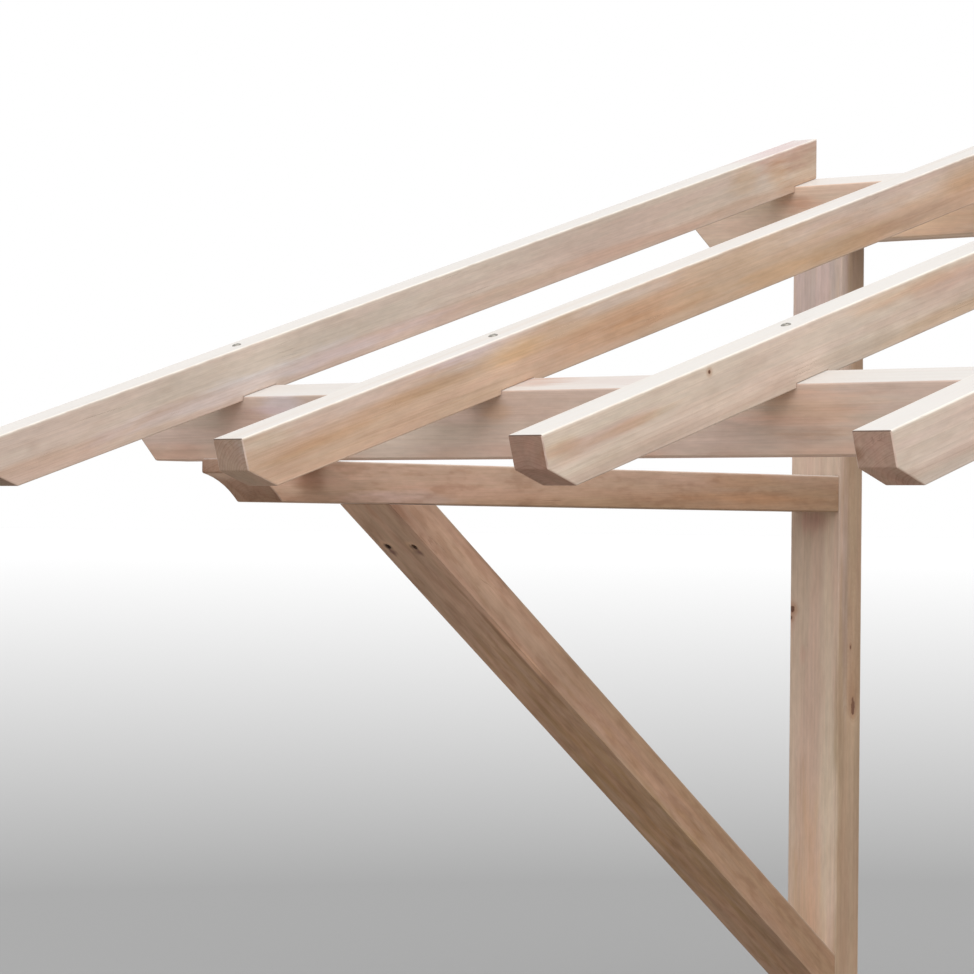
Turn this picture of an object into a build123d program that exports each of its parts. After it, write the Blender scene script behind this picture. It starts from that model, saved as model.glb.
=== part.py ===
"""Wall-hung timber canopy frame: two braced brackets, two purlins and seven rafters.

The frame is the bare softwood skeleton of a lean-to patio cover, with no roof boards.
X runs along the purlins, +Y points into the wall (the wall plane is Y = 0) and +Z is up.
The origin lies on the back face of the left wall post, in the middle of its width and
level with the top of the bracket arm, which is also the underside of the front purlin.
"""

import os
from math import atan, cos, radians, sin, tan

from build123d import *

# Roof
ROOF_PITCH = 17.0  # degrees from level
ROOF_REACH = 1830.0  # wall plane to the rafters' top front corner

# Rafters
RAFTER_WIDTH = 53.0
RAFTER_DEPTH = 74.0
RAFTER_COUNT = 7
RAFTER_SPACING = 494.0  # centre to centre
RAFTER_SQUARE_CUT = 42.0  # part of the front end left square to the rafter
RAFTER_CHAMFER_RUN = 44.0  # length of the chamfer along the rafter's underside

# Purlins
FRONT_PURLIN_THICKNESS = 65.0
FRONT_PURLIN_HEIGHT = 110.0  # at the back, the higher side
FRONT_PURLIN_FACE_Y = -1347.0  # front face
WALL_PURLIN_THICKNESS = 60.0
WALL_PURLIN_HEIGHT = 114.0
PURLIN_OVERHANG = 170.0  # past the outer face of the first and last rafters
PURLIN_END_CHAMFER = 40.0  # on the lower corner of each end

# Housings cut in the rafters' underside over the purlins, measured plumb
FRONT_HOUSING_DEPTH = 6.0
WALL_HOUSING_DEPTH = 9.5

# Wall brackets
POST_WIDTH = 100.0
POST_THICKNESS = 64.0
POST_TAIL = 150.0  # post left below the foot of the brace
POST_TO_RAFTER_GAP = 1.0  # sideways, from the first rafter's inner face to the post
ARM_WIDTH = 92.0
ARM_DEPTH = 60.0
ARM_LENGTH = 1373.0  # wall post to the tip of the nose
ARM_NOSE_FACE = 20.0  # upright face left at the tip
ARM_NOSE_RUN = 70.0  # length of the cove behind it
ARM_COVE_SAG = 6.5  # how far the cove is hollowed out
BRACE_WIDTH = 100.0
BRACE_DEPTH = 60.0
BRACE_ANGLE = 36.7  # degrees below level
BRACE_REACH = 1086.0  # wall post to the brace's front corner under the arm
BRACE_SCREW_DISTANCE = 104.0  # along the brace's underside, from its front corner
BRACE_SCREW_INSET = 27.0  # from the bracket's inner face to the first screw
BRACE_SCREW_SPACING = 53.0
BRACE_SCREW_HOLE_RADIUS = 4.0
BRACE_SCREW_HOLE_DEPTH = 14.0  # upright, from the middle of its slanting mouth to the sunk screw head

# Derived sizes
slope = tan(radians(ROOF_PITCH))
rafter_plumb_depth = RAFTER_DEPTH / cos(radians(ROOF_PITCH))
front_purlin_back_y = FRONT_PURLIN_FACE_Y + FRONT_PURLIN_THICKNESS
front_purlin_face_height = FRONT_PURLIN_HEIGHT - FRONT_PURLIN_THICKNESS * slope
roof_line_at_wall = (
    front_purlin_face_height - FRONT_HOUSING_DEPTH + rafter_plumb_depth - FRONT_PURLIN_FACE_Y * slope
)
wall_purlin_top = roof_line_at_wall - rafter_plumb_depth + WALL_HOUSING_DEPTH
wall_purlin_bottom = wall_purlin_top - WALL_PURLIN_HEIGHT
first_rafter_x = -POST_WIDTH / 2 - POST_TO_RAFTER_GAP - RAFTER_WIDTH / 2
rafter_run = (RAFTER_COUNT - 1) * RAFTER_SPACING
middle_x = first_rafter_x + rafter_run / 2
purlin_length = rafter_run + RAFTER_WIDTH + 2 * PURLIN_OVERHANG
right_post_x = 2 * middle_x
brace_slope = tan(radians(BRACE_ANGLE))
brace_front_y = -POST_THICKNESS - BRACE_REACH
brace_foot_z = -ARM_DEPTH - BRACE_REACH * brace_slope
post_bottom = brace_foot_z - POST_TAIL
screw_y = brace_front_y + BRACE_SCREW_DISTANCE * cos(radians(BRACE_ANGLE))
screw_mouth_z = -ARM_DEPTH - BRACE_SCREW_DISTANCE * sin(radians(BRACE_ANGLE))
screw_mouth_rise = BRACE_SCREW_HOLE_RADIUS * brace_slope


def roof_top(y):
    """Height of the rafters' top edge above a point y in front of the wall."""
    return roof_line_at_wall + y * slope


def roof_under(y):
    """Height of the rafters' underside."""
    return roof_top(y) - rafter_plumb_depth


os.makedirs("parts", exist_ok=True)


def save(builder, label):
    builder.part.label = label
    export_step(builder.part, f"parts/{label}.step")


# Wall posts, arms and braces: the inner faces of each bracket are flush.
# Two screws go straight up through each brace into its arm, sunk in blind holes.
for side, post_x, inward in (("left", 0.0, 1), ("right", right_post_x, -1)):
    inner_x = post_x + inward * POST_WIDTH / 2

    with BuildPart() as wall_post:
        with BuildSketch(Plane.XY.offset(post_bottom)):
            with Locations((post_x, -POST_THICKNESS / 2)):
                Rectangle(POST_WIDTH, POST_THICKNESS)
        extrude(amount=wall_purlin_bottom - post_bottom)
    save(wall_post, f"wall_post_{side}")

    nose_y = -POST_THICKNESS - ARM_LENGTH
    with BuildPart() as arm:
        with BuildSketch(Plane.YZ.offset(inner_x)):
            with BuildLine():
                cove = SagittaArc(
                    (nose_y, -ARM_NOSE_FACE),
                    (nose_y + ARM_NOSE_RUN, -ARM_DEPTH),
                    ARM_COVE_SAG,
                )
                Polyline(
                    cove @ 1,
                    (-POST_THICKNESS, -ARM_DEPTH),
                    (-POST_THICKNESS, 0),
                    (nose_y, 0),
                    cove @ 0,
                )
            make_face()
        extrude(amount=-inward * ARM_WIDTH)
    save(arm, f"arm_{side}")

    with BuildPart() as brace:
        with BuildSketch(Plane.YZ.offset(inner_x)):
            with BuildLine():
                Polyline(
                    (brace_front_y, -ARM_DEPTH),
                    (-POST_THICKNESS, brace_foot_z),
                    (-POST_THICKNESS, brace_foot_z + BRACE_DEPTH / cos(radians(BRACE_ANGLE))),
                    (brace_front_y + BRACE_DEPTH / sin(radians(BRACE_ANGLE)), -ARM_DEPTH),
                    close=True,
                )
            make_face()
        extrude(amount=-inward * BRACE_WIDTH)
        with BuildSketch(Plane.XY.offset(screw_mouth_z - screw_mouth_rise)):
            for inset in (BRACE_SCREW_INSET, BRACE_SCREW_INSET + BRACE_SCREW_SPACING):
                with Locations((inner_x - inward * inset, screw_y)):
                    Circle(BRACE_SCREW_HOLE_RADIUS)
        extrude(amount=screw_mouth_rise + BRACE_SCREW_HOLE_DEPTH, mode=Mode.SUBTRACT)
    save(brace, f"brace_{side}")

# Purlins: tops bevelled to the roof pitch, lower corners of both ends cut off
for label, face_y, thickness, height, bottom in (
    ("front_purlin", FRONT_PURLIN_FACE_Y, FRONT_PURLIN_THICKNESS, FRONT_PURLIN_HEIGHT, 0.0),
    ("wall_purlin", -WALL_PURLIN_THICKNESS, WALL_PURLIN_THICKNESS, WALL_PURLIN_HEIGHT, wall_purlin_bottom),
):
    with BuildPart() as purlin:
        with BuildSketch(Plane.YZ.offset(middle_x)):
            with BuildLine():
                Polyline(
                    (face_y, bottom),
                    (face_y + thickness, bottom),
                    (face_y + thickness, bottom + height),
                    (face_y, bottom + height - thickness * slope),
                    close=True,
                )
            make_face()
        extrude(amount=purlin_length / 2, both=True)
        end_faces = purlin.faces().filter_by(Axis.X)
        lower_corners = end_faces.edges().filter_by(Axis.Y).group_by(Axis.Z)[0]
        chamfer(lower_corners, PURLIN_END_CHAMFER)
    save(purlin, label)

# Rafters: square cut and chamfered in front, housed over both purlins, plumb cut at the wall
pitch = radians(ROOF_PITCH)
tip = (-ROOF_REACH, roof_top(-ROOF_REACH))
knee = (tip[0] + RAFTER_SQUARE_CUT * sin(pitch), tip[1] - RAFTER_SQUARE_CUT * cos(pitch))
heel_y = tip[0] + RAFTER_DEPTH * sin(pitch) + RAFTER_CHAMFER_RUN * cos(pitch)
rafter_outline = [
    tip,
    knee,
    (heel_y, roof_under(heel_y)),
    (FRONT_PURLIN_FACE_Y, roof_under(FRONT_PURLIN_FACE_Y)),
    (FRONT_PURLIN_FACE_Y, roof_under(FRONT_PURLIN_FACE_Y) + FRONT_HOUSING_DEPTH),
    (front_purlin_back_y, roof_under(front_purlin_back_y) + FRONT_HOUSING_DEPTH),
    (front_purlin_back_y, roof_under(front_purlin_back_y)),
    (-WALL_PURLIN_THICKNESS, roof_under(-WALL_PURLIN_THICKNESS)),
    (-WALL_PURLIN_THICKNESS, roof_under(-WALL_PURLIN_THICKNESS) + WALL_HOUSING_DEPTH),
    (0, roof_under(0) + WALL_HOUSING_DEPTH),
    (0, roof_top(0)),
]
for number in range(1, RAFTER_COUNT + 1):
    rafter_x = first_rafter_x + (number - 1) * RAFTER_SPACING
    with BuildPart() as rafter:
        with BuildSketch(Plane.YZ.offset(rafter_x)):
            with BuildLine():
                Polyline(*rafter_outline, close=True)
            make_face()
        extrude(amount=RAFTER_WIDTH / 2, both=True)
    save(rafter, f"rafter_{number}")

print(f"arm top to wall purlin {wall_purlin_bottom:.1f} mm, post bottom {post_bottom:.1f} mm")
print(f"rafter tip {tip[0]:.1f}, {tip[1]:.1f} mm, right post at {right_post_x:.1f} mm")
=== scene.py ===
import random
from math import cos, pi, radians, sin, tan

import bmesh
import bpy
from mathutils import Matrix, Vector


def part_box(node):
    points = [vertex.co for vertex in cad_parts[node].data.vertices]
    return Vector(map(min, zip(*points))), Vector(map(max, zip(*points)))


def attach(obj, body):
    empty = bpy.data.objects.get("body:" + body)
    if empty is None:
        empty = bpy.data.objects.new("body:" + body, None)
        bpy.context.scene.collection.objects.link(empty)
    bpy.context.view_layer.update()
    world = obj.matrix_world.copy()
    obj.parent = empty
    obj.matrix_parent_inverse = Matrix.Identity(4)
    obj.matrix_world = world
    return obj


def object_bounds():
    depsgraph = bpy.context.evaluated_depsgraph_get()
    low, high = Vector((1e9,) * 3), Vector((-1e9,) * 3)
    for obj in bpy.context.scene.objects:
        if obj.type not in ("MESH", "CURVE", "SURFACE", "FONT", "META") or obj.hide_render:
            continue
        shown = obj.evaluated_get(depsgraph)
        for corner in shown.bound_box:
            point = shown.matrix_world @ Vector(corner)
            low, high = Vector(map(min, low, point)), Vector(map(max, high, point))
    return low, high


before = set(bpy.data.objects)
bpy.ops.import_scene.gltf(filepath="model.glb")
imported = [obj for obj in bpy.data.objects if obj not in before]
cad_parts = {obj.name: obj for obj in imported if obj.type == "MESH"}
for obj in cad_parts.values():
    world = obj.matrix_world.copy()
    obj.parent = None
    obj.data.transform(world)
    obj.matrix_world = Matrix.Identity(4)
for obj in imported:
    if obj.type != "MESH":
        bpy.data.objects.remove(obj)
cad_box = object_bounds()

# Directions
RIGHT = (1.0, 0.0, 0.0)
FRONT = (0.0, -1.0, 0.0)
BACK = (0.0, 1.0, 0.0)
UP = (0.0, 0.0, 1.0)
DOWN = (0.0, 0.0, -1.0)

# Sizes of the frame, in metres, as in the part
ROOF_PITCH = radians(17.0)
BRACE_ANGLE = radians(36.7)
RAFTER_COUNT = 7
RAFTER_DEPTH = 0.074
FRONT_PURLIN_FACE_Y = -1.347
FRONT_PURLIN_THICKNESS = 0.065
WALL_PURLIN_FACE_Y = -0.060
POST_FACE_Y = -0.064
LEFT_BRACKET_INNER_X = 0.050
RIGHT_BRACKET_INNER_X = 2.759
BRACE_DEPTH = 0.060
BRACE_HALF_WIDTH = 0.050
BRACE_SCREW_DISTANCE = 0.104  # down the slope from the brace's front corner
BRACE_SCREW_INSETS = (0.027, 0.080)  # from the brace's inner side
BRACE_SCREW_HOLE_DEPTH = 0.014

# Eased arrises
RAFTER_EASING = 0.0024
PURLIN_EASING = 0.0028
POST_EASING = 0.0016
ARM_EASING = 0.0028
BRACE_EASING = 0.0012
EASING_STEPS = 3
EASED_ANGLE = radians(25.0)  # an edge that turns more than this is eased
FLAT_ANGLE = radians(0.3)  # an edge that turns less than this is no edge
SAME_POINT = 0.00002  # corners nearer than this are one

# Screws
RAFTER_SCREW_RADIUS = 0.0066
BRACE_SCREW_RADIUS = 0.0036
SCREW_STEPS = 48  # round a screw head
SCREW_LOBES = 6
# The rings of a screw head, from its edge to the bottom of its drive: radius, height and depth of the lobes,
# the first two as shares of the head's radius and the last as a share of the ring's
SCREW_RINGS = (
    (0.90, -0.12, 0.0), (1.00, -0.05, 0.0), (1.00, 0.07, 0.0), (0.96, 0.14, 0.0), (0.80, 0.22, 0.0),
    (0.62, 0.30, 0.0), (0.50, 0.32, 0.10), (0.46, 0.31, 0.16), (0.44, 0.05, 0.16), (0.40, 0.02, 0.16),
)

# Light: an overcast sky, a third as strong at the horizon as straight up, and two soft lamps. A lamp's level
# is what it adds on a white face turned straight to it
SKY_LEVEL = 0.80
OVERHEAD_LEVEL = 0.50
KEY_LEVEL = 0.34
OVERHEAD_DIRECTION = (0.25, -0.30, 1.0)
KEY_DIRECTION = (0.80, -0.62, 0.60)
OVERHEAD_SPREAD = radians(60.0)
KEY_SPREAD = radians(45.0)

# Floor
FLOOR_HALF_SIZE = 900.0
FLOOR_CENTRE = (1.4, -0.7)
FLOOR_GAP = 0.0005  # below the lowest point of the frame
FLOOR_ROUGHNESS = 0.95
# What a white floor would show: 7/9 of the sky's level, and of each lamp's the upward part of its direction
FLOOR_LIGHT = 7 / 9 * SKY_LEVEL + 0.93 * OVERHEAD_LEVEL + 0.51 * KEY_LEVEL
FLOOR_BOUNCE = (0.42, 0.385, 0.335, 1.0)  # its colour for the light that it throws on the frame
# What the camera sees of it: FAR - DROP / (distance from its centre + REACH), and never less than DARKEST
FLOOR_SEEN_FAR = 1.069
FLOOR_SEEN_DROP = 7.38
FLOOR_SEEN_REACH = 6.25
FLOOR_SEEN_DARKEST = 0.42

# Camera
CAMERA_PLACE = (3.770, -5.066, -0.098)
CAMERA_YAW = radians(42.03)
CAMERA_TILT = radians(0.68)
CAMERA_ROLL = radians(-0.587)
CAMERA_LENS = 138.01  # mm
CAMERA_SENSOR = 36.0  # mm
CAMERA_CLIP_END = 2000.0


def srgb(red, green, blue):
    """Linear colour of an 8-bit screen colour."""
    def linear(level):
        level /= 255
        return level / 12.92 if level <= 0.04045 else ((level + 0.055) / 1.055) ** 2.4
    return (linear(red), linear(green), linear(blue), 1.0)


ZINC_DARK = srgb(120, 116, 110)
ZINC_PALE = srgb(172, 168, 160)

# Colours and sizes in every timber. Colours of three numbers multiply the wood's own, and the others cover it
RING_WIDTH = 0.0035
RING_UNEVENNESS = 3.5  # how far the rings' widths wander, in rings
RING_WANDER = 70.0  # how often they wander, in a metre
KNOT_LENGTH = 0.045  # from the pith to the surface
WARM_HUE = (1.02, 0.983, 0.983)
COOL_HUE = (0.983, 1.007, 0.99)
HEART_RIM = (0.91, 0.84, 0.77)
LATE_WOOD = (0.76, 0.66, 0.57)
LATE_WOOD_STRENGTH = 0.30
MOTTLE_DARK = (0.86, 0.81, 0.77)
MOTTLE_PALE = (1.06, 1.07, 1.09)
DRYING_CHECK = (0.62, 0.54, 0.48)
DRYING_CHECK_STRENGTH = 0.40
KNOT_HALO = (0.80, 0.68, 0.60)
KNOT_DARK = srgb(84, 52, 36)
KNOT_PALE = srgb(124, 84, 60)
# Pale tone of faces that look up: bleaching, and a painted highlight
TOP_BLEACH_AND_HIGHLIGHT = srgb(213, 210, 206)
# Paler long arrises: wear, and a painted highlight
ARRIS_LIFT = (1.08, 1.10, 1.08)
ARRIS_WEAR_AND_HIGHLIGHT = srgb(238, 233, 224)
END_LATE_WOOD = (0.80, 0.74, 0.70)
END_LATE_WOOD_STRENGTH = 0.6
# Pale end arrises: wear, and a painted highlight. The top arris of an end is darker
END_ARRIS_PALE = srgb(226, 204, 192)
END_TOP_DARK = (0.36, 0.35, 0.33)
PLANED_ROUGHNESS = 0.56
LATE_WOOD_POLISH = 0.06
STREAK_ROUGHNESS = 0.16
END_ROUGHNESS = 0.85
WOOD_SPECULAR = 0.45


# Node trees
class Graph:
    """A node tree, with short calls for the nodes that the materials use."""

    def __init__(self, tree):
        self.tree = tree

    def node(self, kind, **settings):
        made = self.tree.nodes.new(kind)
        for key, value in settings.items():
            setattr(made, key, value)
        return made

    def feed(self, socket, value):
        """Links a socket to another one, or sets it to a value."""
        if isinstance(value, bpy.types.NodeSocket):
            self.tree.links.new(value, socket)
        else:
            socket.default_value = value

    def math(self, operation, *values):
        made = self.node("ShaderNodeMath", operation=operation)
        for socket, value in zip(made.inputs, values):
            self.feed(socket, value)
        return made.outputs[0]

    def product(self, first, *others):
        for other in others:
            first = self.math("MULTIPLY", first, other)
        return first

    def swing(self, noise, reach):
        """Noise, which lies between 0 and 1, turned into a swing about zero that is reach from end to end."""
        return self.math("MULTIPLY_ADD", noise, reach, -reach / 2)

    def vector(self, operation, first, second=None, scale=None):
        made = self.node("ShaderNodeVectorMath", operation=operation)
        self.feed(made.inputs[0], first)
        if second is not None:
            self.feed(made.inputs[1], second)
        if scale is not None:
            self.feed(made.inputs["Scale"], scale)
        return made.outputs["Value" if operation in ("LENGTH", "DOT_PRODUCT") else "Vector"]

    def split(self, vector):
        made = self.node("ShaderNodeSeparateXYZ")
        self.feed(made.inputs[0], vector)
        return made.outputs

    def noise(self, place, along, across, seed, detail=2.0, roughness=0.5, colour=False):
        """Noise with along features a metre in the first direction of place, and across in the other two."""
        made = self.node("ShaderNodeTexNoise")
        stretched = self.vector("MULTIPLY", place, (along, across, across))
        self.feed(made.inputs["Vector"], self.vector("ADD", stretched, seed))
        made.inputs["Scale"].default_value = 1.0
        made.inputs["Detail"].default_value = detail
        made.inputs["Roughness"].default_value = roughness
        return made.outputs[1 if colour else 0]

    def smooth(self, value, low, high, out_low=0.0, out_high=1.0):
        """A smooth step from out_low, where value is low, to out_high, where it is high."""
        made = self.node("ShaderNodeMapRange", interpolation_type="SMOOTHSTEP")
        for name, given in (("Value", value), ("From Min", low), ("From Max", high),
                            ("To Min", out_low), ("To Max", out_high)):
            self.feed(made.inputs[name], given)
        return made.outputs["Result"]

    def ramp(self, factor, stops):
        """Straight steps between stops, each a position and a level."""
        made = self.node("ShaderNodeValToRGB")
        elements = made.color_ramp.elements
        while len(elements) < len(stops):
            elements.new(1.0)
        for element, (position, level) in zip(elements, stops):
            element.position = position
            element.color = (level, level, level, 1.0)
        self.feed(made.inputs[0], factor)
        return made.outputs[0]

    def mix(self, factor, first, second, blend="MIX"):
        made = self.node("ShaderNodeMix", data_type="RGBA", blend_type=blend)
        self.feed(made.inputs[0], factor)
        self.feed(made.inputs[6], first)
        self.feed(made.inputs[7], second)
        return made.outputs[2]

    def tint(self, colour, tone, factor=1.0):
        """colour multiplied by tone, which is three numbers or a socket, as far as factor says."""
        if not isinstance(tone, bpy.types.NodeSocket):
            tone = (*tone, 1.0)
        return self.mix(factor, colour, tone, "MULTIPLY")

    def dim(self, colour, level):
        """colour multiplied by a grey level that varies over the surface."""
        return self.vector("SCALE", colour, scale=level)

    def seen(self):
        """1 for what the camera sees, straight or in a gloss or a glass, and 0 for light that falls on surfaces."""
        path = self.node("ShaderNodeLightPath")
        seen = self.math("MAXIMUM", path.outputs["Is Camera Ray"], path.outputs["Is Glossy Ray"])
        return self.math("MAXIMUM", seen, path.outputs["Is Transmission Ray"])


def new_group(name, inputs, outputs):
    tree = bpy.data.node_groups.new(name, "ShaderNodeTree")
    for label, kind in inputs:
        tree.interface.new_socket(label, in_out="INPUT", socket_type="NodeSocket" + kind)
    for label, kind in outputs:
        tree.interface.new_socket(label, in_out="OUTPUT", socket_type="NodeSocket" + kind)
    g = Graph(tree)
    return g, g.node("NodeGroupInput").outputs, g.node("NodeGroupOutput").inputs


# Wood
def knot_group():
    """A knot: a lumpy cone that grows from its root to the surface, with bent rings around it."""
    g, given, result = new_group(
        "knot",
        [("Place", "Vector"), ("Root", "Vector"), ("Axis", "Vector"), ("Reach", "Float"), ("Radius", "Float")],
        [("Core", "Float"), ("Halo", "Float"), ("Swell", "Float")],
    )
    away = g.vector("SUBTRACT", given["Place"], given["Root"])
    along = g.vector("DOT_PRODUCT", away, given["Axis"])
    off_axis = g.vector("LENGTH", g.vector("SUBTRACT", away, g.vector("SCALE", given["Axis"], scale=along)))
    grown = g.product(given["Radius"], g.math("DIVIDE", along, given["Reach"]))
    lumps = g.noise(given["Place"], 160.0, 160.0, given["Root"])
    ratio = g.math("DIVIDE", off_axis, g.math("MAXIMUM", grown, 0.0002))
    ratio = g.math("ADD", ratio, g.swing(lumps, 0.9))
    ahead = g.smooth(along, 0.0, 0.01)
    g.feed(result["Core"], g.product(g.smooth(ratio, 1.15, 0.75), ahead))
    g.feed(result["Halo"], g.product(g.smooth(ratio, 3.4, 0.9), ahead))
    g.feed(result["Swell"], g.product(g.smooth(ratio, 6.0, 0.0), ahead, g.product(given["Radius"], 1.8)))
    return g.tree


def wood_group():
    """Planed softwood: growth rings about a pith line, heartwood, streaks, patches, checks, end grain and arrises."""
    g, given, result = new_group(
        "planed_softwood",
        [("Place", "Vector"), ("Seed", "Vector"), ("Pith", "Vector"), ("Lean", "Vector"), ("Heart Radius", "Float"),
         ("Heart Blur", "Float"), ("Rim", "Float"), ("Sapwood", "Color"), ("Heartwood", "Color"),
         ("Mottle", "Float"), ("Half Section", "Vector"), ("Length Axis", "Vector"), ("Side Axis", "Vector"),
         ("Wear And Highlight", "Float"), ("End Tone", "Color"), ("Core", "Float"), ("Halo", "Float"), ("Swell", "Float"),
         ("Patches", "Color"), ("Top Patches", "Color")],
        [("Colour", "Color"), ("Roughness", "Float"), ("Height", "Float")],
    )
    place, seed = given["Place"], given["Seed"]
    along, side, rise = g.split(place)

    def sideways(noise, reach):
        return g.vector("MULTIPLY", g.vector("SUBTRACT", noise, (0.5, 0.5, 0.5)), (0.0, reach, reach))

    # How far each point is from the wandering pith
    drift = sideways(g.noise(place, 0.8, 0.0, seed, detail=1.0, colour=True), 0.04)
    ripple = sideways(g.noise(place, 2.0, 20.0, seed, detail=3.0, colour=True), 0.012)
    in_section = g.vector("MULTIPLY", place, (0.0, 1.0, 1.0))
    in_section = g.vector("ADD", g.vector("ADD", in_section, drift), ripple)
    pith = g.vector("ADD", given["Pith"], g.vector("SCALE", given["Lean"], scale=along))
    radius = g.math("ADD", g.vector("LENGTH", g.vector("SUBTRACT", in_section, pith)), given["Swell"])

    # Growth rings of uneven width, each with a dense late edge
    year = g.node("ShaderNodeTexNoise", noise_dimensions="1D")
    g.feed(year.inputs["W"], g.product(radius, RING_WANDER))
    year.inputs["Scale"].default_value = 1.0
    year.inputs["Detail"].default_value = 2.0
    uneven = g.product(year.outputs[0], RING_UNEVENNESS * RING_WIDTH)
    turns = g.math("DIVIDE", g.math("ADD", radius, uneven), RING_WIDTH)
    ring_noise = g.node("ShaderNodeTexWhiteNoise", noise_dimensions="1D")
    g.feed(ring_noise.inputs["W"], g.math("FLOOR", turns))
    late = g.ramp(g.math("FRACT", turns), [(0.0, 0.05), (0.40, 0.10), (0.80, 0.80), (0.94, 1.0), (1.0, 0.05)])
    late = g.product(late, g.math("MULTIPLY_ADD", ring_noise.outputs[0], 0.7, 0.3))

    # Patterns along the grain, from the finest to the broadest, and three with seeds of their own
    fibre = g.noise(place, 12.0, 1000.0, seed, roughness=0.6)
    streak = g.noise(place, 1.8, 150.0, seed, detail=3.0, roughness=0.6)
    band = g.noise(place, 0.7, 42.0, seed)
    patch = g.noise(place, 4.5, 13.0, seed)
    hue = g.noise(place, 2.6, 30.0, g.vector("SCALE", seed, scale=1.9), detail=3.0, roughness=0.55)
    fleck = g.noise(place, 38.0, 190.0, g.vector("SCALE", seed, scale=0.7), detail=3.0, roughness=0.6)
    blotch = g.noise(place, 15.0, 55.0, g.vector("SCALE", seed, scale=2.3), detail=3.0, roughness=0.6)

    # Heartwood, with a darker rim
    inside = g.math("SUBTRACT", given["Heart Radius"], g.math("ADD", radius, g.swing(patch, 0.03)))
    heartness = g.smooth(inside, g.product(given["Heart Blur"], -1.0), given["Heart Blur"])
    rim = g.product(g.smooth(inside, -0.004, 0.004), g.smooth(inside, 0.024, 0.006), given["Rim"])
    colour = g.mix(heartness, given["Sapwood"], given["Heartwood"])
    colour = g.tint(colour, HEART_RIM, rim)

    # Hue, rings and patterns. Each pattern has the noise it runs between, and the levels it gives there
    colour = g.tint(colour, g.mix(g.smooth(hue, 0.36, 0.64), (*WARM_HUE, 1.0), (*COOL_HUE, 1.0)))
    colour = g.tint(colour, LATE_WOOD, g.product(late, LATE_WOOD_STRENGTH))
    for pattern, low, high, dark, light in (
        (band, 0.35, 0.65, 0.965, 1.03),
        (patch, 0.35, 0.65, 0.945, 1.045),
        (streak, 0.30, 0.70, 0.960, 1.035),
        (fibre, 0.20, 0.80, 0.965, 1.03),
        (fleck, 0.30, 0.70, 0.955, 1.04),
    ):
        colour = g.dim(colour, g.smooth(pattern, low, high, dark, light))
    mottled = g.tint(colour, MOTTLE_DARK, g.smooth(blotch, 0.48, 0.66))
    mottled = g.tint(mottled, MOTTLE_PALE, g.smooth(blotch, 0.48, 0.36))
    colour = g.mix(given["Mottle"], colour, mottled)

    # Fine drying checks, along the grain
    crack = g.math("ABSOLUTE", g.math("SUBTRACT", g.noise(place, 3.5, 75.0, seed, detail=1.0), 0.5))
    where = g.noise(place, 7.0, 24.0, g.vector("SCALE", seed, scale=3.1), detail=1.0)
    check = g.product(g.smooth(crack, 0.006, 0.001), g.smooth(where, 0.64, 0.72))
    colour = g.tint(colour, DRYING_CHECK, g.product(check, DRYING_CHECK_STRENGTH))

    # Knots and patches
    colour = g.tint(colour, KNOT_HALO, given["Halo"])
    colour = g.mix(given["Core"], colour, g.mix(hue, KNOT_DARK, KNOT_PALE))
    colour = g.tint(colour, given["Patches"])

    # Faces that look up are paler: partly sun-bleached, partly a painted highlight of the light from above
    normal = g.node("ShaderNodeNewGeometry").outputs["Normal"]
    upness = g.vector("DOT_PRODUCT", normal, UP)
    bleach_and_highlight = g.product(g.smooth(upness, 0.55, 0.95), g.smooth(streak, 0.25, 0.60, 0.72, 0.92))
    colour = g.mix(bleach_and_highlight, colour, TOP_BLEACH_AND_HIGHLIGHT)
    colour = g.tint(colour, given["Top Patches"])

    # Long arrises are paler: worn, and a painted highlight where the eased edges catch light, the upper ones more than
    # the lower ones
    rubbing = g.noise(place, 30.0, 60.0, seed)
    half_side, half_rise = g.split(given["Half Section"])[1:]
    near_side = g.math("SUBTRACT", half_side, g.math("ABSOLUTE", side))
    near_rise = g.math("SUBTRACT", half_rise, g.math("ABSOLUTE", rise))
    arris = g.product(g.smooth(g.math("MAXIMUM", near_side, near_rise), 0.0042, 0.0012),
                      g.smooth(rubbing, 0.30, 0.60, 0.35, 0.85),
                      g.smooth(rise, -0.008, 0.008, 0.25, 1.0),
                      given["Wear And Highlight"])
    colour = g.mix(arris, colour, g.mix(0.70, g.tint(colour, ARRIS_LIFT), ARRIS_WEAR_AND_HIGHLIGHT))

    # End grain soaks up dirt and light
    lengthwise = g.math("ABSOLUTE", g.vector("DOT_PRODUCT", normal, given["Length Axis"]))
    endness = g.smooth(lengthwise, 0.22, 0.50)
    end_colour = g.tint(colour, given["End Tone"])
    end_colour = g.tint(end_colour, END_LATE_WOOD, g.product(late, END_LATE_WOOD_STRENGTH))
    colour = g.mix(endness, colour, end_colour)

    # The arrises of an end are pale where they meet a side, worn and with a painted highlight, and darker along the
    # top
    sidewise = g.math("ABSOLUTE", g.vector("DOT_PRODUCT", normal, given["Side Axis"]))
    side_arris = g.product(g.smooth(g.product(lengthwise, sidewise), 0.18, 0.36),
                           g.smooth(near_side, 0.012, 0.006),
                           g.smooth(rubbing, 0.30, 0.60, 0.45, 0.85),
                           given["Wear And Highlight"])
    colour = g.mix(side_arris, colour, END_ARRIS_PALE)
    upwards = g.vector("DOT_PRODUCT", normal, g.vector("CROSS_PRODUCT", given["Length Axis"], given["Side Axis"]))
    top_arris = g.product(g.smooth(g.product(lengthwise, upwards), 0.22, 0.40), given["Wear And Highlight"])
    colour = g.tint(colour, END_TOP_DARK, top_arris)
    g.feed(result["Colour"], colour)

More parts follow.
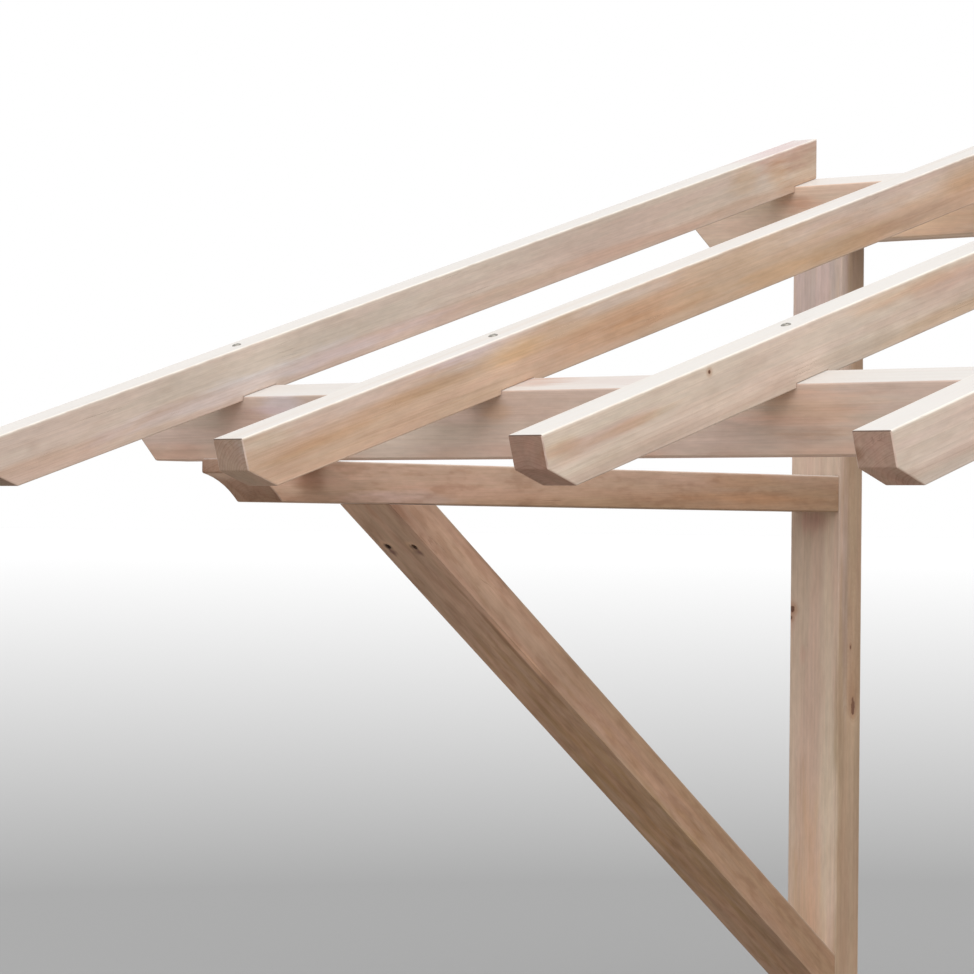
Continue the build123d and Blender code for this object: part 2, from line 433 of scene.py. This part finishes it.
    rough = g.math("MULTIPLY_ADD", late, -LATE_WOOD_POLISH, PLANED_ROUGHNESS)
    rough = g.math("ADD", rough, g.swing(streak, STREAK_ROUGHNESS))
    rough = g.math("MAXIMUM", rough, g.product(endness, END_ROUGHNESS))
    g.feed(result["Roughness"], rough)

    # Relief, in metres
    height = 0.0
    for pattern, relief in (
        (late, 0.00006), (fibre, 0.00004), (patch, 0.0008), (check, -0.0003), (given["Core"], 0.0003),
    ):
        height = g.math("MULTIPLY_ADD", pattern, relief, height)
    g.feed(result["Height"], height)
    return g.tree


KNOT_GROUP = knot_group()
WOOD_GROUP = wood_group()


class Timber:
    """A straight timber: its node, its own axes, a point on its centre line and half its section."""

    def __init__(self, node, origin, along, side, half_side, half_rise):
        self.node = node
        self.origin = Vector(origin)
        self.along = Vector(along)
        self.side = Vector(side)
        self.half = (0.0, half_side, half_rise)
        self.axes = Matrix((self.along, self.side, self.along.cross(self.side))).transposed()

    def turned(self, direction):
        """A direction of the frame, on the timber's own axes."""
        return self.axes.inverted() @ Vector(direction)

    def local(self, point):
        """A point of the frame, on the timber's own axes and from its origin."""
        return self.turned(Vector(point) - self.origin)


class Look:
    """What one timber looks like. Points are on its surface, in the frame's metres.

    The pith is where the timber's section has it at the origin, and it leans by lean for each metre along the
    timber. Knots are (point, radius, outward direction). Patches are (point, half length, half width, tone),
    where the width goes both ways across the grain, and the tone multiplies the wood's colour."""

    def __init__(self, seed, pith, sapwood, heartwood, heart_radius, lean=(0.0, 0.0), end_tone=(0.50, 0.46, 0.44),
                 wear_and_highlight=1.0, rim=0.5, blur=0.007, mottle=0.3, knots=(), patches=(), top_patches=()):
        self.seed = seed
        self.pith = pith
        self.sapwood = sapwood
        self.heartwood = heartwood
        self.heart_radius = heart_radius
        self.lean = lean
        self.end_tone = end_tone
        self.wear_and_highlight = wear_and_highlight
        self.rim = rim
        self.blur = blur
        self.mottle = mottle
        self.knots = knots
        self.patches = patches
        self.top_patches = top_patches


def wood_material(timber, look):
    material = bpy.data.materials.new("wood_" + timber.node)
    material.use_nodes = True
    material.node_tree.nodes.clear()
    g = Graph(material.node_tree)
    shuffle = random.Random(look.seed)
    seed = Vector([shuffle.uniform(-60.0, 60.0) for _ in range(3)])

    mapping = g.node("ShaderNodeMapping", vector_type="TEXTURE")
    g.feed(mapping.inputs["Vector"], g.node("ShaderNodeTexCoord").outputs["Object"])
    mapping.inputs["Location"].default_value = timber.origin
    mapping.inputs["Rotation"].default_value = timber.axes.to_euler()
    place = mapping.outputs[0]

    # The strongest of all knots at each point
    knot_values = {"Core": 0.0, "Halo": 0.0, "Swell": 0.0}
    for point, radius, outward in look.knots:
        direction = timber.turned(outward).normalized()
        knot = g.node("ShaderNodeGroup")
        knot.node_tree = KNOT_GROUP
        g.feed(knot.inputs["Place"], place)
        knot.inputs["Root"].default_value = timber.local(point) - direction * KNOT_LENGTH
        knot.inputs["Axis"].default_value = direction
        knot.inputs["Reach"].default_value = KNOT_LENGTH
        knot.inputs["Radius"].default_value = radius
        for name, value in knot_values.items():
            knot_values[name] = g.math("MAXIMUM", value, knot.outputs[name])

    ragged = g.swing(g.noise(place, 9.0, 70.0, seed, detail=3.0, roughness=0.6), 1.4)

    def patched(patches):
        colour = (1.0, 1.0, 1.0, 1.0)
        for point, half_length, half_width, tone in patches:
            away = g.vector("SUBTRACT", place, timber.local(point))
            away = g.vector("DIVIDE", away, (half_length, half_width, half_width))
            distance = g.math("ADD", g.vector("LENGTH", away), ragged)
            colour = g.tint(colour, tone, g.smooth(distance, 1.1, 0.2))
        return colour

    wood = g.node("ShaderNodeGroup")
    wood.node_tree = WOOD_GROUP
    for name, value in (
        ("Place", place), ("Seed", seed), ("Pith", (0.0, *look.pith)), ("Lean", (0.0, *look.lean)),
        ("Heart Radius", look.heart_radius), ("Heart Blur", look.blur), ("Rim", look.rim),
        ("Sapwood", look.sapwood), ("Heartwood", look.heartwood), ("Mottle", look.mottle),
        ("Half Section", timber.half), ("Length Axis", timber.along), ("Side Axis", timber.side),
        ("Wear And Highlight", look.wear_and_highlight), ("End Tone", (*look.end_tone, 1.0)), ("Patches", patched(look.patches)),
        ("Top Patches", patched(look.top_patches)), *knot_values.items(),
    ):
        g.feed(wood.inputs[name], value)

    bump = g.node("ShaderNodeBump")
    bump.inputs["Distance"].default_value = 1.0
    g.feed(bump.inputs["Height"], wood.outputs["Height"])
    shader = g.node("ShaderNodeBsdfPrincipled")
    shader.inputs["Specular IOR Level"].default_value = WOOD_SPECULAR
    g.feed(shader.inputs["Base Color"], wood.outputs["Colour"])
    g.feed(shader.inputs["Roughness"], wood.outputs["Roughness"])
    g.feed(shader.inputs["Normal"], bump.outputs[0])
    output = g.node("ShaderNodeOutputMaterial")
    g.feed(output.inputs["Surface"], shader.outputs[0])
    return material


def dress(timber, look, easing, clamp=True):
    """Gives a timber its wood and eases its arrises."""
    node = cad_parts[timber.node]
    node.data.materials.clear()
    node.data.materials.append(wood_material(timber, look))
    weld = node.modifiers.new("welded_corners", "WELD")
    weld.merge_threshold = SAME_POINT
    whole = node.modifiers.new("whole_faces", "DECIMATE")
    whole.decimate_type = "DISSOLVE"
    whole.angle_limit = FLAT_ANGLE
    bevel = node.modifiers.new("eased_arrises", "BEVEL")
    bevel.width = easing
    bevel.segments = EASING_STEPS
    bevel.limit_method = "ANGLE"
    bevel.angle_limit = EASED_ANGLE
    bevel.loop_slide = False
    bevel.use_clamp_overlap = clamp
    flatten = node.modifiers.new("flat_faces", "WEIGHTED_NORMAL")
    flatten.mode = "FACE_AREA"
    flatten.weight = 100


# Tones of the timbers, lit plainly
ROSE = srgb(213, 197, 185)
PALE_ROSE = srgb(220, 203, 189)
BEIGE = srgb(211, 189, 175)
TAN = srgb(206, 177, 154)
STRAW = srgb(219, 195, 177)
PINK_GREY = srgb(199, 180, 168)
MAROON = srgb(209, 176, 161)
ASH = srgb(210, 186, 169)
OCHRE = srgb(181, 155, 131)
FAWN = srgb(203, 170, 150)
BUFF = srgb(190, 156, 134)
UMBER = srgb(171, 137, 109)

# Tones of patches, which multiply the wood's colour. Some patches are painted shade and painted light, marked where
# they are placed
GREYER = (1.06, 1.17, 1.37)
ORANGE = (1.06, 0.97, 0.80)
TAWNY = (0.94, 0.86, 0.76)
AMBER = (1.00, 0.92, 0.81)
PINKER = (0.95, 0.86, 0.86)
DULLER = (0.92, 0.89, 0.88)
PALER = (1.05, 1.11, 1.10)
DARK = (0.72, 0.62, 0.55)
# Painted shade for the mouths of screw holes
HOLE_SHADE = (0.05, 0.03, 0.02)
RUST = (0.42, 0.30, 0.28)
RIM = (1.35, 1.30, 1.20)
BROWNER = (0.76, 0.69, 0.43)
WARMER = (1.14, 0.99, 0.90)
DUSKY = (0.82, 0.82, 0.82)
RUDDY = (0.93, 0.80, 0.82)
FLUSHED = (0.86, 0.68, 0.62)
MAUVE = (0.95, 1.01, 1.17)
BLUSH = (0.95, 0.89, 0.88)
# Painted light for a strip of a brace's underside
PALE_STRIP = (1.50, 1.50, 1.55)
LIGHTER = (1.14, 1.14, 1.16)
CREAM = (1.06, 1.05, 1.08)

# What the same timbers of both brackets share
POST_WOOD = dict(sapwood=ASH, heartwood=OCHRE, heart_radius=0.062, wear_and_highlight=0.3, rim=0.3)
ARM_WOOD = dict(sapwood=FAWN, heartwood=UMBER, heart_radius=0.070, lean=(0.0, -0.055), blur=0.03, mottle=1.0,
                wear_and_highlight=0.3, rim=0.0, end_tone=(0.62, 0.58, 0.57))
BRACE_WOOD = dict(sapwood=BUFF, heartwood=UMBER, heart_radius=0.07, lean=(0.0, 0.065), blur=0.03, mottle=1.0,
                  wear_and_highlight=0.3, rim=0.0)


def dress_rafter(number, look):
    low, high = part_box(f"rafter_{number}")
    middle, half = (low + high) / 2, (high - low) / 2
    centre_line_at_wall = high.z - RAFTER_DEPTH / 2 / cos(ROOF_PITCH)
    timber = Timber(f"rafter_{number}", (middle.x, 0.0, centre_line_at_wall),
                    (0.0, -cos(ROOF_PITCH), -sin(ROOF_PITCH)), RIGHT, half.x, RAFTER_DEPTH / 2)
    dress(timber, look, RAFTER_EASING)


def dress_purlin(node, look):
    low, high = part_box(node)
    middle, half = (low + high) / 2, (high - low) / 2
    dress(Timber(node, middle, RIGHT, BACK, half.y, half.z), look, PURLIN_EASING)


def dress_bracket(side, post_look, arm_look, brace_look):
    low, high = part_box(f"wall_post_{side}")
    middle, half = (low + high) / 2, (high - low) / 2
    post = Timber(f"wall_post_{side}", (middle.x, middle.y, 0.0), UP, RIGHT, half.x, half.y)
    dress(post, post_look, POST_EASING)
    low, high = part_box(f"arm_{side}")
    middle, half = (low + high) / 2, (high - low) / 2
    arm = Timber(f"arm_{side}", (middle.x, high.y, middle.z), FRONT, RIGHT, half.x, half.z)
    dress(arm, arm_look, ARM_EASING)
    low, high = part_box(f"brace_{side}")
    brace = Timber(f"brace_{side}", brace_point(side, 0.0, 0.0, BRACE_DEPTH / 2),
                   (0.0, -cos(BRACE_ANGLE), sin(BRACE_ANGLE)), RIGHT, (high.x - low.x) / 2, BRACE_DEPTH / 2)
    dress(brace, brace_look, BRACE_EASING, clamp=False)


def rafter_side(number, y, depth):
    """A point on the side that a rafter turns to +X, at a depth from 0, its top edge, to 1, its bottom edge."""
    low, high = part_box(f"rafter_{number}")
    return Vector((high.x, y, high.z + y * tan(ROOF_PITCH) - depth * RAFTER_DEPTH / cos(ROOF_PITCH)))


def brace_point(side, down, across, rise):
    """A point of a brace: down its slope from the front corner, across from its middle, and up from its underside."""
    low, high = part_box(f"brace_{side}")
    return Vector(((low.x + high.x) / 2 + across, low.y + down * cos(BRACE_ANGLE) + rise * sin(BRACE_ANGLE),
                   high.z - down * sin(BRACE_ANGLE) + rise * cos(BRACE_ANGLE)))


def brace_screws_across(side):
    """How far the two screws of a brace are across from its middle."""
    inward = 1 if side == "left" else -1
    return [inward * (BRACE_HALF_WIDTH - inset) for inset in BRACE_SCREW_INSETS]


def hole_patches(side):
    """Each screw hole has a pale rim, a rusty run below it and a dark mouth of painted shade."""
    patches = []
    for across in brace_screws_across(side):
        for below, half_length, half_width, tone in (
            (-0.002, 0.016, 0.015, RIM),
            (0.013, 0.012, 0.009, RUST),
            # Painted shade in the hole's mouth
            (0.0, 0.0105, 0.0100, HOLE_SHADE),
        ):
            point = brace_point(side, BRACE_SCREW_DISTANCE + below, across, 0.0)
            patches.append((point, half_length, half_width, tone))
    return patches


dress_rafter(1, Look(11, (0.03, -0.08), ROSE, BEIGE, 0.055, lean=(0.0, 0.01), patches=[
    (rafter_side(1, -0.45, 0.5), 0.55, 0.090, DULLER),
    (rafter_side(1, -0.20, 0.3), 0.06, 0.028, AMBER),
    (rafter_side(1, -0.11, 0.4), 0.04, 0.030, AMBER),
    (rafter_side(1, -1.74, 0.4), 0.02, 0.010, DULLER),
    (rafter_side(1, -1.28, 0.72), 0.45, 0.018, GREYER),
    (rafter_side(1, -0.04, 0.5), 0.10, 0.070, TAWNY),
    (rafter_side(1, -0.03, 0.5), 0.09, 0.070, DULLER),
], top_patches=[((-0.0775, -0.08, 0.548), 0.12, 0.060, RUDDY)]))
dress_rafter(2, Look(12, (0.03, -0.018), TAN, TAN, 0.080, end_tone=(0.72, 0.73, 0.79), patches=[
    (rafter_side(2, -1.62, 0.00), 0.36, 0.032, GREYER),
    (rafter_side(2, -1.38, 0.05), 0.16, 0.022, GREYER),
    (rafter_side(2, -1.78, 0.18), 0.06, 0.014, PALER),
    (rafter_side(2, -1.75, 0.82), 0.06, 0.016, DULLER),
    (rafter_side(2, -0.48, 0.08), 0.46, 0.040, GREYER),
    (rafter_side(2, -1.70, 0.55), 0.13, 0.010, TAWNY),
    (rafter_side(2, -1.52, 0.38), 0.15, 0.012, TAWNY),
    (rafter_side(2, -1.32, 0.30), 0.08, 0.020, ORANGE),
    (rafter_side(2, -1.42, 0.85), 0.12, 0.016, PALER),
    (rafter_side(2, -1.40, 0.58), 0.15, 0.016, LIGHTER),
    (rafter_side(2, -1.10, 0.12), 0.16, 0.014, GREYER),
    (rafter_side(2, -1.10, 0.45), 0.20, 0.016, TAWNY),
    (rafter_side(2, -0.40, 0.80), 0.14, 0.020, DUSKY),
    (rafter_side(2, -0.56, 0.80), 0.16, 0.020, TAWNY),
    (rafter_side(2, -0.28, 0.40), 0.08, 0.030, TAWNY),
    (rafter_side(2, -1.04, 0.70), 0.22, 0.014, AMBER),
    (rafter_side(2, -0.75, 0.80), 0.14, 0.018, AMBER),
]))
dress_rafter(3, Look(13, (0.0, -0.06), PALE_ROSE, ROSE, 0.050, end_tone=(0.53, 0.40, 0.37),
                     knots=[((0.937, -1.522, 0.098), 0.0026, RIGHT)], patches=[
    (rafter_side(3, -1.73, 0.38), 0.16, 0.012, PINKER),
    ((0.9105, -1.792, -0.035), 0.036, 0.034, LIGHTER),
    (rafter_side(3, -1.800, 0.36), 0.06, 0.018, TAWNY),
    (rafter_side(3, -1.66, 0.42), 0.12, 0.008, TAWNY),
    (rafter_side(3, -1.08, 0.18), 0.19, 0.014, TAWNY),
    (rafter_side(3, -1.02, 0.25), 0.16, 0.016, PINKER),
    (rafter_side(3, -0.95, 0.50), 0.26, 0.050, DULLER),
    (rafter_side(3, -1.00, 0.90), 0.24, 0.016, AMBER),
]))
dress_rafter(4, Look(14, (0.04, -0.07), PALE_ROSE, ROSE, 0.06, end_tone=(0.63, 0.51, 0.48), patches=[
    (rafter_side(4, -1.72, 0.50), 0.18, 0.080, CREAM),
    ((1.380, -1.824, -0.010), 0.04, 0.013, DARK),
    ((1.400, -1.795, -0.036), 0.036, 0.036, DULLER),
]))
dress_rafter(5, Look(15, (-0.03, -0.07), BEIGE, TAN, 0.06, end_tone=(0.70, 0.62, 0.60), patches=[
    (rafter_side(5, -1.30, 0.40), 0.30, 0.014, TAWNY),
    (rafter_side(5, -0.60, 0.60), 0.25, 0.020, AMBER),
]))
dress_rafter(6, Look(16, (0.02, -0.05), ROSE, TAN, 0.05, end_tone=(0.64, 0.57, 0.56),
                     knots=[(rafter_side(6, -0.700, 0.62), 0.0042, RIGHT)], patches=[
    (rafter_side(6, -0.90, 0.30), 0.30, 0.020, PINKER),
]))
dress_rafter(7, Look(17, (0.03, -0.08), ROSE, BEIGE, 0.06, end_tone=(0.70, 0.62, 0.60), patches=[
    (rafter_side(7, -1.20, 0.50), 0.25, 0.014, TAWNY),
]))
dress_purlin("front_purlin", Look(31, (0.04, -0.075), PINK_GREY, MAROON, 0.075, patches=[
    # Painted shade beside rafter 1
    ((-0.03, FRONT_PURLIN_FACE_Y, 0.055), 0.08, 0.030, PINKER),
    ((-0.18, FRONT_PURLIN_FACE_Y, 0.020), 0.10, 0.050, LIGHTER),
    ((0.02, FRONT_PURLIN_FACE_Y, 0.080), 0.06, 0.030, GREYER),
    ((0.33, FRONT_PURLIN_FACE_Y, 0.010), 0.20, 0.045, LIGHTER),
    ((0.83, FRONT_PURLIN_FACE_Y, 0.028), 0.08, 0.026, LIGHTER),
    # Painted light, lifting the shade beside rafters 3 and 2, on this patch and the next
    ((0.862, FRONT_PURLIN_FACE_Y, 0.054), 0.035, 0.022, LIGHTER),
    ((0.372, FRONT_PURLIN_FACE_Y, 0.056), 0.035, 0.022, LIGHTER),
    # Painted shade under rafter 2
    ((0.435, FRONT_PURLIN_FACE_Y, 0.062), 0.030, 0.020, TAWNY),
    ((0.96, FRONT_PURLIN_FACE_Y, 0.055), 0.12, 0.040, WARMER),
    # Painted shade beside rafter 3
    ((0.96, FRONT_PURLIN_FACE_Y, 0.030), 0.05, 0.020, DUSKY),
], top_patches=[
    # Painted warm light thrown from rafter 2's side onto the purlin's top
    ((0.475, -1.300, 0.125), 0.08, 0.045, FLUSHED),
    ((0.62, -1.310, 0.110), 0.16, 0.040, BLUSH),
]))
dress_purlin("wall_purlin", Look(32, (0.06, -0.05), STRAW, TAN, 0.06,
                                 knots=[((1.985, WALL_PURLIN_FACE_Y, 0.432), 0.0055, (0.0, -1.0, 0.1))], patches=[
    ((-0.17, WALL_PURLIN_FACE_Y, 0.430), 0.08, 0.034, LIGHTER),
    # Painted shade under rafter 1
    ((-0.045, WALL_PURLIN_FACE_Y, 0.456), 0.06, 0.018, FLUSHED),
    ((0.23, WALL_PURLIN_FACE_Y, 0.415), 0.16, 0.060, AMBER),
]))
dress_bracket(
    "left",
    Look(41, (0.095, 0.010), **POST_WOOD, knots=[
        ((LEFT_BRACKET_INNER_X, -0.021, -0.388), 0.0048, (1.0, 0.0, 2.6)),
        ((-0.046, POST_FACE_Y, -0.223), 0.0055, (-0.3, -1.0, 0.0)),
        ((-0.049, POST_FACE_Y, -0.2375), 0.0035, (-0.3, -1.0, 0.0)),
        ((LEFT_BRACKET_INNER_X, -0.029, -0.285), 0.0018, (1.0, 0.0, 1.5)),
    ], patches=[
        ((0.030, POST_FACE_Y, -0.45), 0.60, 0.024, PALER),
        ((-0.010, POST_FACE_Y, -0.75), 0.30, 0.040, AMBER),
        # Painted shade under the arm
        ((-0.005, POST_FACE_Y, -0.074), 0.028, 0.040, RUDDY),
        ((-0.022, POST_FACE_Y, -0.298), 0.020, 0.010, PINKER),
        ((-0.045, POST_FACE_Y, -0.235), 0.040, 0.012, PINKER),
        ((LEFT_BRACKET_INNER_X, -0.030, -0.350), 0.35, 0.030, LIGHTER),
        ((LEFT_BRACKET_INNER_X, -0.044, -0.200), 0.22, 0.012, MAUVE),
        # Painted shade that dims the light on the front arris
        ((LEFT_BRACKET_INNER_X, POST_FACE_Y, -0.100), 0.12, 0.007, DUSKY),
        # Painted shade of rafter 2 and the wall purlin on the post's side
        ((LEFT_BRACKET_INNER_X, -0.020, 0.340), 0.10, 0.060, DUSKY),
        ((0.000, POST_FACE_Y, 0.300), 0.20, 0.080, MAUVE),
    ]),
    Look(42, (0.020, -0.030), **ARM_WOOD, patches=[
        # Painted shade on the arm under the front purlin
        ((LEFT_BRACKET_INNER_X, -1.312, -0.022), 0.038, 0.042, DARK),
        # Painted light beside that shade, on this patch and the next
        ((LEFT_BRACKET_INNER_X, -1.15, -0.025), 0.10, 0.042, LIGHTER),
        ((LEFT_BRACKET_INNER_X, -1.245, -0.024), 0.045, 0.044, LIGHTER),
        ((LEFT_BRACKET_INNER_X, -1.14, -0.054), 0.14, 0.018, GREYER),
        ((LEFT_BRACKET_INNER_X, -1.14, -0.058), 0.10, 0.014, LIGHTER),
        # Painted light beside that shade, on this patch and the next
        ((LEFT_BRACKET_INNER_X, -1.222, -0.012), 0.060, 0.018, LIGHTER),
        ((LEFT_BRACKET_INNER_X, -1.190, -0.050), 0.050, 0.014, LIGHTER),
        ((LEFT_BRACKET_INNER_X, -0.33, -0.012), 0.14, 0.016, TAWNY),
        ((LEFT_BRACKET_INNER_X, -0.30, -0.040), 0.25, 0.012, AMBER),
    ]),
    Look(43, (0.020, 0.110), **BRACE_WOOD, patches=[
        # Painted shade on the brace's underside, on this patch and the next
        (brace_point("left", 0.75, 0.0, -0.060), 0.70, 0.110, BROWNER),
        (brace_point("left", 0.18, 0.0, -0.060), 0.25, 0.110, DUSKY),
        (brace_point("left", 0.18, 0.050, 0.035), 0.16, 0.026, LIGHTER),
        # Painted shade of the arm on the brace's side
        (brace_point("left", 0.005, 0.050, 0.004), 0.070, 0.011, DARK),
        # Painted shade in a dark line and painted light in a pale strip along the underside's edge, which make the
        # underside look narrower
        (brace_point("left", 0.34, 0.036, 0.0), 0.22, 0.006, DARK),
        (brace_point("left", 0.37, 0.0445, 0.0), 0.12, 0.008, PALE_STRIP),
        (brace_point("left", 0.22, 0.050, 0.060), 0.13, 0.007, DARK),
        *hole_patches("left"),
    ]),
)
dress_bracket(
    "right",
    Look(51, (-0.095, 0.010), **POST_WOOD, knots=[
        ((2.835, POST_FACE_Y, -0.520), 0.0060, (0.2, -1.0, 0.0)),
        ((RIGHT_BRACKET_INNER_X, -0.034, 0.180), 0.0045, (-1.0, 0.0, 1.2)),
    ], patches=[
        ((2.800, POST_FACE_Y, -0.800), 0.30, 0.040, AMBER),
        # Painted shade under the arm
        ((2.812, POST_FACE_Y, -0.074), 0.028, 0.040, RUDDY),
    ]),
    Look(52, (-0.020, -0.030), **ARM_WOOD),
    Look(53, (-0.020, 0.110), **BRACE_WOOD, patches=[
        # Painted shade on the brace's underside, on this patch and the next
        (brace_point("right", 0.75, 0.0, -0.060), 0.70, 0.110, BROWNER),
        (brace_point("right", 0.18, 0.0, -0.060), 0.25, 0.110, DUSKY),
        *hole_patches("right"),
    ]),
)


# Screws
def new_material(name):
    """A material with its graph and its shader, which is linked already."""
    material = bpy.data.materials.new(name)
    material.use_nodes = True
    return material, Graph(material.node_tree), material.node_tree.nodes["Principled BSDF"]


def steel_material():
    material, g, shader = new_material("dull_zinc")
    place = g.node("ShaderNodeTexCoord").outputs["Object"]
    mottle = g.noise(place, 700.0, 700.0, (3.0, 1.0, 2.0), detail=3.0)
    g.feed(shader.inputs["Base Color"], g.mix(mottle, ZINC_DARK, ZINC_PALE))
    g.feed(shader.inputs["Roughness"], g.smooth(mottle, 0.3, 0.7, 0.34, 0.52))
    shader.inputs["Metallic"].default_value = 1.0
    return material


def add_screw(bm, place, axis, radius):
    """A screw head with a lobed drive, that looks along axis."""
    turn = axis.to_track_quat("Z", "Y")
    rings = []
    for ring_radius, height, lobes in SCREW_RINGS:
        ring = []
        for step in range(SCREW_STEPS):
            angle = radians(360.0 * step / SCREW_STEPS)
            reach = radius * ring_radius * (1 + lobes * cos(SCREW_LOBES * angle))
            ring.append(bm.verts.new(place + turn @ Vector((reach * cos(angle), reach * sin(angle), radius * height))))
        rings.append(ring)
    for lower, upper in zip(rings, rings[1:]):
        for step in range(SCREW_STEPS):
            after = (step + 1) % SCREW_STEPS
            bm.faces.new((lower[step], lower[after], upper[after], upper[step])).smooth = True
    bm.faces.new(reversed(rings[0]))
    bm.faces.new(rings[-1])


def screw_piece(name, places, radius, material):
    bm = bmesh.new()
    for place, axis in places:
        add_screw(bm, place, axis, radius)
    mesh = bpy.data.meshes.new(name)
    bm.to_mesh(mesh)
    bm.free()
    mesh.materials.append(material)
    piece = bpy.data.objects.new(name, mesh)
    bpy.context.scene.collection.objects.link(piece)
    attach(piece, "root")


steel = steel_material()

# One in each rafter's top, over the middle of the front purlin
roof_normal = Vector((0.0, -sin(ROOF_PITCH), cos(ROOF_PITCH)))
rafter_screws = []
for number in range(1, RAFTER_COUNT + 1):
    low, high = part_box(f"rafter_{number}")
    y = FRONT_PURLIN_FACE_Y + FRONT_PURLIN_THICKNESS / 2 - RAFTER_DEPTH * sin(ROOF_PITCH)
    rafter_screws.append((Vector(((low.x + high.x) / 2, y, high.z + y * tan(ROOF_PITCH))), roof_normal))
screw_piece("rafter_screws", rafter_screws, RAFTER_SCREW_RADIUS, steel)

# Two in each brace, at the bottom of their upright holes
for side in ("left", "right"):
    low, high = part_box(f"brace_{side}")
    y = low.y + BRACE_SCREW_DISTANCE * cos(BRACE_ANGLE)
    z = high.z - BRACE_SCREW_DISTANCE * sin(BRACE_ANGLE) + BRACE_SCREW_HOLE_DEPTH
    places = [(Vector(((low.x + high.x) / 2 + across, y, z)), Vector(DOWN)) for across in brace_screws_across(side)]
    screw_piece(f"brace_screws_{side}", places, BRACE_SCREW_RADIUS, steel)


# Floor: grey near the object, and white far away
def floor_material():
    material, g, shader = new_material("floor_paint")
    shader.inputs["Roughness"].default_value = FLOOR_ROUGHNESS
    shader.inputs["Specular IOR Level"].default_value = 0.0
    distance = g.vector("LENGTH", g.node("ShaderNodeTexCoord").outputs["Object"])
    nearness = g.math("DIVIDE", 1.0, g.math("ADD", distance, FLOOR_SEEN_REACH))
    seen_level = g.math("MULTIPLY_ADD", nearness, -FLOOR_SEEN_DROP, FLOOR_SEEN_FAR)
    seen_level = g.math("MAXIMUM", seen_level, FLOOR_SEEN_DARKEST)
    seen_colour = g.math("DIVIDE", seen_level, FLOOR_LIGHT)
    grey = g.node("ShaderNodeCombineColor")
    for socket in grey.inputs[:3]:
        g.feed(socket, seen_colour)
    g.feed(shader.inputs["Base Color"], g.mix(g.seen(), FLOOR_BOUNCE, grey.outputs[0]))
    return material


floor_mesh = bpy.data.meshes.new("floor")
bm = bmesh.new()
bmesh.ops.create_grid(bm, x_segments=1, y_segments=1, size=FLOOR_HALF_SIZE)
bm.to_mesh(floor_mesh)
bm.free()
floor = bpy.data.objects.new("floor", floor_mesh)
bpy.context.scene.collection.objects.link(floor)
floor.location = (*FLOOR_CENTRE, cad_box[0][2] - FLOOR_GAP)
floor_mesh.materials.append(floor_material())

# World: soft light from all round, strongest from above, and seen as white
world = bpy.data.worlds.new("studio")
bpy.context.scene.world = world
world.use_nodes = True
world.node_tree.nodes.clear()
g = Graph(world.node_tree)
seen = g.seen()
direction = g.split(g.node("ShaderNodeTexCoord").outputs["Generated"])
above_horizon = g.math("MAXIMUM", direction[2], 0.0)
overcast = g.math("MULTIPLY_ADD", above_horizon, SKY_LEVEL * 2 / 3, SKY_LEVEL / 3)
background = g.node("ShaderNodeBackground")
background.inputs["Color"].default_value = (1.0, 1.0, 1.0, 1.0)
g.feed(background.inputs["Strength"], g.math("MULTIPLY_ADD", g.math("SUBTRACT", 1.0, seen), overcast, seen))
world_output = g.node("ShaderNodeOutputWorld")
g.feed(world_output.inputs["Surface"], background.outputs[0])


def add_sun(name, direction, level, spread):
    light = bpy.data.lights.new(name, "SUN")
    light.energy = level * pi
    light.angle = spread
    lamp = bpy.data.objects.new(name, light)
    lamp.rotation_mode = "QUATERNION"
    lamp.rotation_quaternion = Vector(direction).to_track_quat("Z", "Y")
    bpy.context.scene.collection.objects.link(lamp)


add_sun("overhead", OVERHEAD_DIRECTION, OVERHEAD_LEVEL, OVERHEAD_SPREAD)
add_sun("key", KEY_DIRECTION, KEY_LEVEL, KEY_SPREAD)

# Camera
look = Vector((-sin(CAMERA_YAW) * cos(CAMERA_TILT), cos(CAMERA_YAW) * cos(CAMERA_TILT), sin(CAMERA_TILT)))
level_right = Vector((cos(CAMERA_YAW), sin(CAMERA_YAW), 0.0))
level_up = level_right.cross(look)
camera_right = level_right * cos(CAMERA_ROLL) - level_up * sin(CAMERA_ROLL)
camera_up = level_right * sin(CAMERA_ROLL) + level_up * cos(CAMERA_ROLL)
camera_data = bpy.data.cameras.new("camera")
camera_data.lens = CAMERA_LENS
camera_data.sensor_width = CAMERA_SENSOR
camera_data.clip_end = CAMERA_CLIP_END
camera = bpy.data.objects.new("camera", camera_data)
bpy.context.scene.collection.objects.link(camera)
axes = Matrix((camera_right, camera_up, -look)).transposed()
camera.matrix_world = Matrix.Translation(CAMERA_PLACE) @ axes.to_4x4()
bpy.context.scene.camera = camera
bpy.context.scene.view_settings.view_transform = "Standard"
